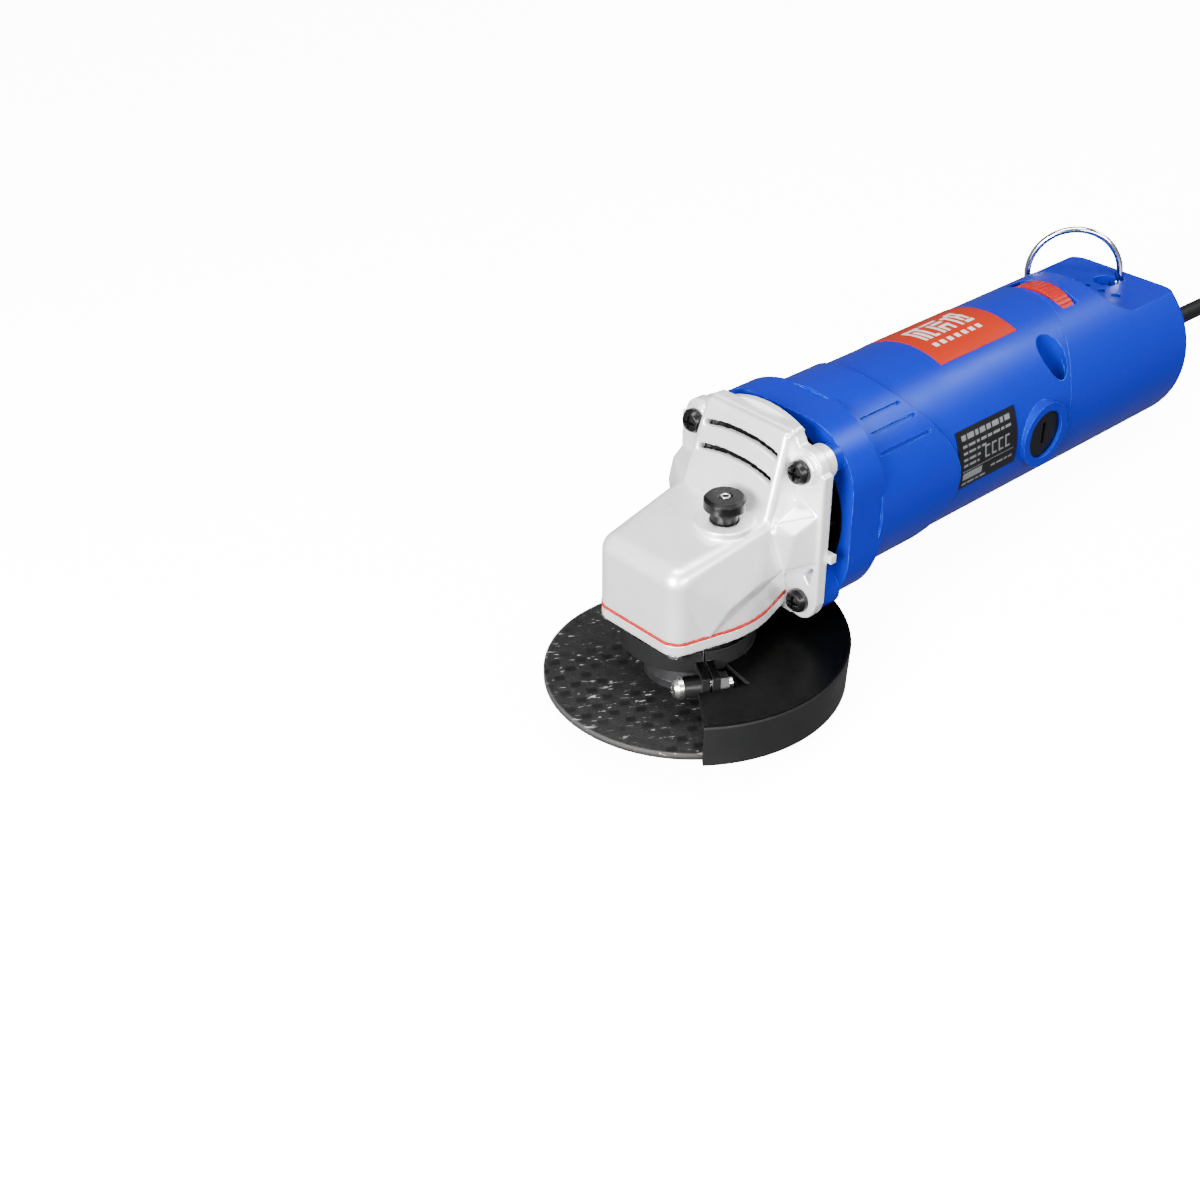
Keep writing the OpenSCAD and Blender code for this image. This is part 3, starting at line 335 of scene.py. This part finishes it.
def disc_look():
    """Dark resin and grit over a coarse glass weave, with loose pale threads, their brightness
    partly a painted glint.
    """
    g = Graph("disc_fibre")
    laid = g.add("ShaderNodeMapping")
    g.link(g.place, laid.inputs["Vector"])
    laid.inputs["Rotation"].default_value = (0, 0, -math.radians(WEAVE_TURN))
    split = g.add("ShaderNodeSeparateXYZ")
    g.link(laid.outputs["Vector"], split.inputs["Vector"])
    pitch = 2 * math.pi / (WEAVE_MM * MM)
    warp = g.math("SINE", g.math("MULTIPLY", split.outputs["X"], pitch))
    weft = g.math("SINE", g.math("MULTIPLY", split.outputs["Y"], pitch))
    weave = g.math("MULTIPLY", warp, weft)
    thread = g.add("ShaderNodeMapping")
    g.link(laid.outputs["Vector"], thread.inputs["Vector"])
    thread.inputs["Scale"].default_value = (1, 0.22, 1)
    speck = g.spread(g.noise(0.85, 2, 0.6, thread.outputs["Vector"]), 0.62, 0.68)
    patch = g.spread(g.noise(14, 3), 0.42, 0.6, 0.2, 1.0)
    # bright dashes of glass thread: partly their own paleness, partly a painted glint
    glint = g.math("MULTIPLY", g.math("MULTIPLY", speck, patch), g.spread(weave, -0.2, 0.3))
    grit = g.noise(0.6, 4, 0.75)
    tone = g.mix(g.spread(grit, 0.35, 0.7), (0.0015, 0.0015, 0.0015), (0.015, 0.0147, 0.0144))
    narrow = g.math("MINIMUM", g.math("ABSOLUTE", warp),
                    g.math("MULTIPLY", g.math("ABSOLUTE", weft), 1.6))
    # the weave's sunken squares are painted darker: painted shade in the hollows
    square = g.math("MULTIPLY", g.spread(narrow, 0.6, 0.66), g.spread(weave, 0.0, -0.1))
    pit_shade = g.math("MULTIPLY", square, g.spread(g.noise(26, 2), 0.4, 0.52))
    tone = g.mix(pit_shade, tone, (0.0003, 0.0003, 0.0003))
    flat = g.add("ShaderNodeVectorMath", operation="MULTIPLY")
    g.link(g.place, flat.inputs[0])
    flat.inputs[1].default_value = (1, 1, 0)
    out = g.add("ShaderNodeVectorMath", operation="LENGTH")
    g.link(flat.outputs["Vector"], out.inputs[0])
    at_rim = g.spread(out.outputs["Value"], RIM_FROM * MM, RIM_TO * MM)
    tone = g.mix(at_rim, tone, (0.035, 0.034, 0.033))
    return g.finish(colour=g.mix(glint, tone, (0.3, 0.3, 0.29)), specular=0.2,
                    rough=g.spread(glint, 0.0, 1.0, 0.6, 0.35),
                    normal=g.bump(grit, 0.15))


looks["disc_fibre"] = disc_look()

slot_of = {s["node"]: s["material_slot"] for s in frame["record"]["subparts"]}
for node_name, node in nodes.items():
    node.data.materials.clear()
    node.data.materials.append(looks[slot_of[node_name]])


# ---- Making pieces ----


def put(obj, body, look, replaces=()):
    """Gives a piece its look, its body and the CAD nodes that it stands for."""
    obj.data.materials.clear()
    obj.data.materials.append(looks[look])
    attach(obj, body)
    if replaces:
        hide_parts(*replaces)
    return obj


def mesh_object(name, points, faces, place=TOOL, smooth=True):
    """A mesh from points in mm along the axes of place."""
    mesh = bpy.data.meshes.new(name)
    mesh.from_pydata([Vector(p) * MM for p in points], [], faces)
    mesh.validate()
    obj = bpy.data.objects.new(name, mesh)
    obj.matrix_world = place
    bpy.context.scene.collection.objects.link(obj)
    mesh.polygons.foreach_set("use_smooth", [smooth] * len(mesh.polygons))
    return obj


def evaluated_copy(obj):
    """Applies an object's modifiers."""
    graph = bpy.context.evaluated_depsgraph_get()
    mesh = bpy.data.meshes.new_from_object(obj.evaluated_get(graph))
    obj.modifiers.clear()
    old = obj.data
    obj.data = mesh
    bpy.data.meshes.remove(old)
    return obj


def turned(name, profile, base, axis, steps=64):
    """A closed profile of (distance along the axis, radius) in mm, turned about the axis."""
    axis = Vector(axis).normalized()
    side = axis.orthogonal().normalized()
    other = axis.cross(side)
    points, faces = [], []
    rows = len(profile)
    for i in range(steps):
        turn = 2 * math.pi * i / steps
        out = side * math.cos(turn) + other * math.sin(turn)
        points += [Vector(base) + axis * along + out * r for along, r in profile]
    for i in range(steps):
        j = (i + 1) % steps
        for k in range(rows):
            m = (k + 1) % rows
            faces.append((i * rows + k, i * rows + m, j * rows + m, j * rows + k))
    return points, faces


def soften(obj, width_mm=0.3, segments=2):
    """Rounds a piece's sharp edges."""
    bevel = obj.modifiers.new("soft_edges", "BEVEL")
    bevel.width = width_mm * MM
    bevel.segments = segments
    bevel.limit_method = "ANGLE"
    bevel.angle_limit = math.radians(35)
    bevel.harden_normals = True
    return evaluated_copy(obj)


# ---- Cord ----

CORD_R = 3.5
# Route of the straight part, as in the CAD source, in mm
ROUTE = [(-145.7, -3, 24.8), (-160, -3, 23.1), (-175, -3, 21.3), (-190, -3, 19.4),
         (-205, -3, 17.4), (-215, -3, 16), (-225, -3.4, 14.4), (-235, -4.5, 12.6),
         (-245, -6.4, 10.8), (-255, -9.1, 9), (-268, -13, 7), (-281, -16.9, 5.4),
         (-294, -20.8, 4.4), (-309, -25.3, 3.9)]
ENTRY_TURN = -73.3  # where the straight part meets the coil
TURN_STEP = 15
# Moves from one lane of the coil to the next: degrees wound so far, step outwards, step up
LANE_STEPS = [(270, -7.5, 0), (540, 0, 7), (810, 7.5, 0), (1080, 0, 7), (1350, -7.5, 0),
              (1620, 0, 7), (1890, 7.5, 0)]
LANE_SHIFT = 90
COIL_END = 2205
PLUG_RISE_FROM = 2130


def ease(t):
    return (1 - math.cos(math.pi * min(max(t, 0.0), 1.0))) / 2


def coil_points():
    lo, hi = (Vector(c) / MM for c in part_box("cord_coil"))
    centre = (lo + hi) / 2
    outer = (hi.x - lo.x) / 2 - CORD_R - 1
    points = []
    for wound in range(0, COIL_END + 1, TURN_STEP):
        r = outer + sum(dr * ease((wound - start) / LANE_SHIFT) for start, dr, _ in LANE_STEPS)
        z = lo.z + CORD_R + sum(dz * ease((wound - start) / LANE_SHIFT)
                                for start, _, dz in LANE_STEPS)
        turn = math.radians(ENTRY_TURN - wound)
        points.append(Vector((centre.x + r * math.cos(turn), centre.y + r * math.sin(turn), z)))
    return points


def plug_points(last, heading):
    """From the coil's last point up to the back of the plug."""
    lo, hi = (Vector(c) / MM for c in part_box("plug_body"))
    end = Vector(((lo.x + hi.x) / 2, lo.y + 1, (lo.z + hi.z) / 2))
    reach = (end - last).length * 0.8
    points = []
    for i in range(1, 7):
        t = i / 6
        a, b = 2 * t**3 - 3 * t**2 + 1, t**3 - 2 * t**2 + t
        c, d = 3 * t**2 - 2 * t**3, t**3 - t**2
        points.append(last * a + heading * reach * b + end * c + Vector((0, reach, 0)) * d)
    return points


def cord_points():
    coil = coil_points()
    heading = (coil[-1] - coil[-2]).normalized()
    tail = plug_points(coil[-1], heading)
    first = (PLUG_RISE_FROM // TURN_STEP)
    rising = coil[first:] + tail
    run = [0.0]
    for a, b in zip(rising, rising[1:]):
        run.append(run[-1] + math.hypot(b.x - a.x, b.y - a.y))
    low, high = coil[first].z, tail[-1].z
    for p, distance in zip(rising, run):
        p.z = low + (high - low) * ease(distance / run[-1])
    return [Vector(p) for p in ROUTE] + coil + tail


def make_cord():
    points = cord_points()
    curve = bpy.data.curves.new("cord", "CURVE")
    curve.dimensions = "3D"
    curve.bevel_depth = CORD_R * MM
    curve.bevel_resolution = 5
    curve.resolution_u = 4
    curve.use_fill_caps = True
    spline = curve.splines.new("BEZIER")
    spline.bezier_points.add(len(points) - 1)
    for knot, p in zip(spline.bezier_points, points):
        knot.co = p * MM
        knot.handle_left_type = knot.handle_right_type = "AUTO"
    obj = bpy.data.objects.new("cord", curve)
    bpy.context.scene.collection.objects.link(obj)
    return put(obj, "body", "soft_rubber", replaces=("power_cord", "cord_coil"))


def make_plug():
    """A round two-pin plug with finger grooves, and its two pins."""
    lo, hi = (Vector(c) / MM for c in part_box("plug_body"))
    r = (hi.x - lo.x) / 2
    length = hi.y - lo.y
    base = Vector(((lo.x + hi.x) / 2, lo.y, (lo.z + hi.z) / 2))
    profile = [(-7, CORD_R), (-7, 4.3), (-5.4, 4.6), (-5.2, 4.1), (-4.2, 4.1), (-4, 4.9),
               (-2.4, 5.2), (-2.2, 4.6), (-1.2, 4.6), (-1, 5.6), (1, 6.2), (4, r - 1)]
    for k in range(4):
        at = 5.5 + 3.4 * k
        profile += [(at, r - 0.4), (at + 1.5, r - 0.4), (at + 1.9, r - 1.3), (at + 2.9, r - 1.3)]
    profile += [(20, r - 0.2), (21, r), (length - 1.2, r), (length, r - 1.2), (length, 0.2),
                (length - 2, 0.2), (0, 0.2), (-1, CORD_R)]
    body = soften(mesh_object("plug", *turned("plug", profile, base, (0, 1, 0)),
                              place=Matrix()), 0.25)
    put(body, "body", "soft_rubber", replaces=("plug_body",))
    lo, hi = (Vector(c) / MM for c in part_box("plug_pins"))
    points, faces = [], []
    pin_r = 2.0
    pin = hi.y - lo.y
    for x in (lo.x + pin_r, hi.x - pin_r):
        shape = [(0, 0.1), (0, pin_r), (pin * 0.55, pin_r), (pin * 0.56, pin_r - 0.12),
                 (pin - 1.2, pin_r - 0.12), (pin - 0.4, pin_r - 0.7), (pin, pin_r - 1.4),
                 (pin, 0.1)]
        p, f = turned("pin", shape, (x, lo.y, (lo.z + hi.z) / 2), (0, 1, 0), 32)
        faces += [tuple(i + len(points) for i in face) for face in f]
        points += p
    pins = mesh_object("plug_pin_pair", points, faces, place=Matrix())
    put(pins, "body", "brass", replaces=("plug_pins",))
    return body, pins


def make_boot():
    """The tapered strain relief with its rings."""
    cord = Vector(ROUTE[0])
    start = TO_TOOL @ (cord * MM) / MM
    lo = min((TO_TOOL @ v.co).x / MM for v in nodes["cord_boot"].data.vertices)
    hi = max((TO_TOOL @ v.co).x / MM for v in nodes["cord_boot"].data.vertices)
    inner = CORD_R + 0.05
    profile = [(hi, inner), (hi, 6.4), (start.x + 0.3, 6.4), (start.x + 0.3, 8.1),
               (start.x - 1.4, 8.1), (start.x - 1.9, 6.4)]
    rings = 6
    pitch = (start.x - 3 - lo) / rings
    for k in range(rings):
        at = start.x - 3 - pitch * k
        r = 6.3 - 1.6 * k / rings
        profile += [(at, r), (at - pitch * 0.6, r - 0.2), (at - pitch * 0.62, r - 1.0),
                    (at - pitch * 0.95, r - 1.05)]
    profile += [(lo, 4.5), (lo, inner)]
    profile = [(-a, r) for a, r in profile]
    obj = mesh_object("strain_relief",
                      *turned("boot", profile, (0, start.y, start.z), (-1, 0, 0)))
    return put(soften(obj, 0.15), "body", "soft_rubber", replaces=("cord_boot",))


cord = make_cord()
plug, pins = make_plug()
boot = make_boot()


# ---- Castings ----


def recast(node_name, name, voxel_mm, passes, look):
    """A copy of a CAD casting, remeshed and smoothed so that its edges are soft."""
    obj = bpy.data.objects.new(name, nodes[node_name].data.copy())
    bpy.context.scene.collection.objects.link(obj)
    remesh = obj.modifiers.new("remesh", "REMESH")
    remesh.mode = "VOXEL"
    remesh.voxel_size = voxel_mm * MM
    remesh.use_smooth_shade = True
    smooth = obj.modifiers.new("smooth", "SMOOTH")
    smooth.factor = 0.5
    smooth.iterations = passes
    evaluated_copy(obj)
    return put(obj, nodes[node_name]["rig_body"], look, replaces=(node_name,))


SMOOTHING = 3  # passes
recast("gear_case", "gear_head", 0.4, SMOOTHING, "cast_alloy")
recast("bearing_cover", "neck_casting", 0.42, SMOOTHING, "cast_alloy")


def slot_shade_sheet():
    """A black screen behind the two slots of the gear head: a dark sheet standing in for the shade
    inside them.
    """
    back, front = Vector((-26.9, 0, 33.4)), Vector((-21.5, 0, 17.3))
    inwards = Vector((-0.9, 0, -0.3))
    half_wide = 16.6
    rows, columns = 16, 32
    cell = 2 * half_wide / columns
    mesh_depth = 0.12
    points, faces = [], []
    for layer in (0, 1):
        for i in range(rows + 1):
            for k in range(columns + 1):
                p = front.lerp(back, i / rows) + inwards * layer
                ripple = mesh_depth * ((i + k) % 2)
                points.append((p.x - ripple, cell * k - half_wide, p.z))
    wide = columns + 1
    half = (rows + 1) * wide
    for i in range(rows):
        for k in range(columns):
            a = i * wide + k
            faces.append((a, a + 1, a + wide + 1, a + wide))
            faces.append((a + half + wide, a + half + wide + 1, a + half + 1, a + half))
    rim = (list(range(wide)) + [i * wide + columns for i in range(1, rows + 1)]
           + [rows * wide + k for k in range(columns - 1, -1, -1)]
           + [i * wide for i in range(rows - 1, 0, -1)])
    for a, b in zip(rim, rim[1:] + rim[:1]):
        faces.append((b, a, a + half, b + half))
    put(mesh_object("slot_shade_sheet", points, faces, smooth=False), "body", "black_plastic")


def cap_dimple():
    """A small steel ring round the dimple of the lock button."""
    co = [TO_TOOL @ v.co / MM for v in nodes["lock_button"].data.vertices]
    x = (min(p.x for p in co) + max(p.x for p in co)) / 2
    y = (min(p.y for p in co) + max(p.y for p in co)) / 2
    top = max(p.z for p in co)
    profile = [(-0.5, 1.05), (0.06, 1.05), (0.14, 1.2), (0.14, 1.5), (0.06, 1.65), (-0.5, 1.65)]
    obj = mesh_object("cap_dimple", *turned("ring", profile, (x, y, top), (0, 0, 1)))
    put(obj, nodes["lock_button"]["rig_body"], "zinc_steel")


# the dark sheet that stands for the shade inside the gear head's slots
slot_shade_sheet()
cap_dimple()


# ---- Cutting disc ----


def make_disc():
    """The disc with its weave pressed into both faces."""
    co = [TO_TOOL @ v.co / MM for v in nodes["cutting_disc"].data.vertices]
    low, high = min(p.z for p in co), max(p.z for p in co)
    radii = [math.hypot(p.x, p.y) for p in co]
    outer, bore = max(radii), min(radii)
    rings, steps = 80, 480
    rim, hub = 1.5, 4.5  # mm without relief at the edge and round the bore
    low_relief, relief = 0.05, 0.12  # mm
    points, faces = [], []
    pitch = 2 * math.pi / WEAVE_MM
    lay = math.radians(WEAVE_TURN)
    for face, sign in ((high, -1), (low, 1)):
        for i in range(rings + 1):
            r = bore + (outer - bore) * i / rings
            fade = min(1, (outer - r) / rim, max(0, r - bore - hub) / rim)
            for k in range(steps):
                turn = 2 * math.pi * k / steps
                x, y = r * math.cos(turn), r * math.sin(turn)
                along = x * math.cos(lay) + y * math.sin(lay)
                across = y * math.cos(lay) - x * math.sin(lay)
                weave = math.sin(along * pitch) * math.sin(across * pitch)
                z = face + sign * (low_relief + relief * fade * (1 - weave))
                points.append((x, y, z))
    layer = (rings + 1) * steps
    for s in (0, 1):
        for i in range(rings):
            for k in range(steps):
                a, b = i * steps + k, i * steps + (k + 1) % steps
                quad = [a, b, b + steps, a + steps]
                faces.append([q + s * layer for q in (quad[::-1] if s else quad)][::-1])
    for k in range(steps):
        m = (k + 1) % steps
        for i, order in ((0, 1), (rings, -1)):
            a, b = i * steps + k, i * steps + m
            faces.append([a, b, b + layer, a + layer][::order])
    return put(mesh_object("woven_disc", points, faces), "spindle_set", "disc_fibre",
               replaces=("cutting_disc",))


make_disc()


# ---- Labels ----


def wrapped(name, patches, radius, depth, look):
    """Thin patches laid on the round body. Each is (x from, x to, turn from, turn to) in mm
    along the axis and degrees from the left side up."""
    points, faces = [], []
    for x0, x1, a0, a1 in patches:
        steps = max(2, int(abs(a1 - a0) / 2) + 1)
        base = len(points)
        for i in range(steps + 1):
            turn = math.radians(a0 + (a1 - a0) * i / steps)
            for x in (x0, x1):
                for r in (radius, radius + depth):
                    points.append((x, r * math.cos(turn), r * math.sin(turn)))
        for i in range(steps):
            a, b = base + 4 * i, base + 4 * (i + 1)
            for p, q in ((0, 1), (1, 3), (3, 2), (2, 0)):
                faces.append((a + p, a + q, b + q, b + p))
        last = base + 4 * steps
        faces.append((base, base + 2, base + 3, base + 1))
        faces.append((last, last + 1, last + 3, last + 2))
    obj = mesh_object(name, points, faces, smooth=False)
    return put(obj, "body", look)


def tool_extent(node_name):
    """Ranges of x, radius and turn of a node wrapped round the body."""
    co = [TO_TOOL @ v.co / MM for v in nodes[node_name].data.vertices]
    turns = [math.degrees(math.atan2(p.z, p.y)) for p in co]
    return (min(p.x for p in co), max(p.x for p in co), max(math.hypot(p.y, p.z) for p in co),
            min(turns), max(turns))


LABEL_PRINT, PLATE_PRINT = 0.06, 0.05  # mm thick


def label_marks():
    """Plain bars and blocks in place of the top label's print."""
    x0, x1, r, a0, a1 = tool_extent("top_label")
    span, arc = x1 - x0, a1 - a0
    blocks = []
    # bars of one block, across and up, as parts of its width and height
    shapes = [[(0, 1, 0.86, 1), (0, 0.16, 0, 0.86), (0.3, 0.5, 0, 0.72), (0.66, 0.82, 0.1, 0.86),
               (0.66, 1, 0, 0.12)],
              [(0, 1, 0.88, 1), (0.05, 0.22, 0, 0.75), (0.36, 1, 0.6, 0.74), (0.36, 1, 0.3, 0.44),
               (0.36, 0.52, 0, 0.3), (0.8, 0.96, 0, 0.3)],
              [(0, 0.4, 0.72, 0.86), (0.12, 0.28, 0, 0.72), (0.5, 1, 0.86, 1),
               (0.5, 0.64, 0.2, 0.86), (0.82, 0.96, 0.2, 0.86), (0.5, 1, 0.46, 0.58),
               (0.5, 1, 0, 0.14)]]
    for k, bars in enumerate(shapes):
        left, wide = x1 - span * (0.16 + 0.225 * k), -span * 0.19
        low, tall = a0 + arc * 0.31, arc * 0.28
        for u0, u1, v0, v1 in bars:
            blocks.append((left + wide * u1, left + wide * u0, low + tall * v0, low + tall * v1))
    for k in range(7):
        left = x1 - span * (0.2 + 0.093 * k)
        blocks.append((left, left + span * 0.05, a0 + arc * 0.19, a0 + arc * 0.245))
    wrapped("label_marks", blocks, r, LABEL_PRINT, "label_print")


def plate_marks():
    """Rows of dashes, a light box and a few plain shapes in place of the plate's print."""
    x0, x1, r, a0, a1 = tool_extent("rating_plate")
    span, arc = x1 - x0, a1 - a0
    # height, thickness, start and stop of each row, as parts of the plate
    rows = [(0.82, 0.09, (0.08, 0.92)), (0.7, 0.045, (0.08, 0.92)), (0.59, 0.04, (0.08, 0.46)),
            (0.48, 0.04, (0.08, 0.4)), (0.38, 0.04, (0.08, 0.34)), (0.06, 0.035, (0.08, 0.5)),
            (0.16, 0.035, (0.56, 0.92))]
    marks = [(x1 - span * 0.4, x1 - span * 0.08, a0 + arc * 0.15, a0 + arc * 0.27),
             (x1 - span * 0.93, x1 - span * 0.07, a0 + arc * 0.3, a0 + arc * 0.31)]
    dashes, gap = (0.07, 0.11, 0.05, 0.09), 0.025
    for height, thick, (start, stop) in rows:
        at = start
        k = 0
        while at < stop - 0.02:
            wide = dashes[k % 4]
            marks.append((x1 - span * min(at + wide, stop), x1 - span * at,
                          a0 + arc * height, a0 + arc * (height + thick)))
            at += wide + gap
            k += 1
    for k in range(4):
        left = x1 - span * (0.52 + 0.115 * k)
        marks += [(left, left + span * 0.08, a0 + arc * 0.38, a0 + arc * 0.41),
                  (left, left + span * 0.08, a0 + arc * 0.56, a0 + arc * 0.59),
                  (left + span * 0.06, left + span * 0.08, a0 + arc * 0.41, a0 + arc * 0.56)]
    wrapped("plate_marks", marks, r, PLATE_PRINT, "plate_print")


label_marks()
plate_marks()


# ---- Floor and light ----


FLOOR_REACH = 20000
FLOOR_GLOW = 12.0
WORLD_GLOW = 0.25


def make_floor():
    corners = [(x * FLOOR_REACH, y * FLOOR_REACH, 0)
               for x, y in ((-1, -1), (1, -1), (1, 1), (-1, 1))]
    floor = mesh_object("floor", corners, [(0, 1, 2, 3)], place=Matrix())
    g = Graph("floor_paint")
    g.shader.inputs["Emission Color"].default_value = (1, 1, 1, 1)
    g.shader.inputs["Emission Strength"].default_value = FLOOR_GLOW
    floor.data.materials.append(g.finish(
        colour=g.mix(g.spread(g.noise(400, 2), 0.3, 0.7), (0.86, 0.86, 0.86), (0.9, 0.9, 0.9)),
        rough=0.7, specular=0.2))
    # no light thrown back up at the tool
    floor.visible_diffuse = floor.visible_glossy = False


def area_light(name, place, size, watts, aim=(-60, 0, 0)):
    """A rectangular light, placed and aimed in mm along the tool's axes."""
    data = bpy.data.lights.new(name, "AREA")
    data.shape = "RECTANGLE"
    data.size, data.size_y = (s * MM for s in size)
    data.energy = watts
    light = bpy.data.objects.new(name, data)
    bpy.context.scene.collection.objects.link(light)
    at, target = TOOL @ (Vector(place) * MM), TOOL @ (Vector(aim) * MM)
    light.matrix_world = Matrix.Translation(at) @ (
        (at - target).to_track_quat("Z", "Y").to_matrix().to_4x4())


make_floor()
area_light("softbox_top", (100, 60, 900), (800, 300), 16)
area_light("softbox_left", (150, 950, 420), (900, 180), 18)
area_light("softbox_tail", (-800, 420, 780), (700, 160), 8)
area_light("softbox_front", (950, 200, 350), (500, 400), 50)
world = bpy.data.worlds.new("studio")
bpy.context.scene.world = world
world.use_nodes = True
background = world.node_tree.nodes["Background"]
background.inputs["Color"].default_value = (1, 1, 1, 1)
background.inputs["Strength"].default_value = WORLD_GLOW
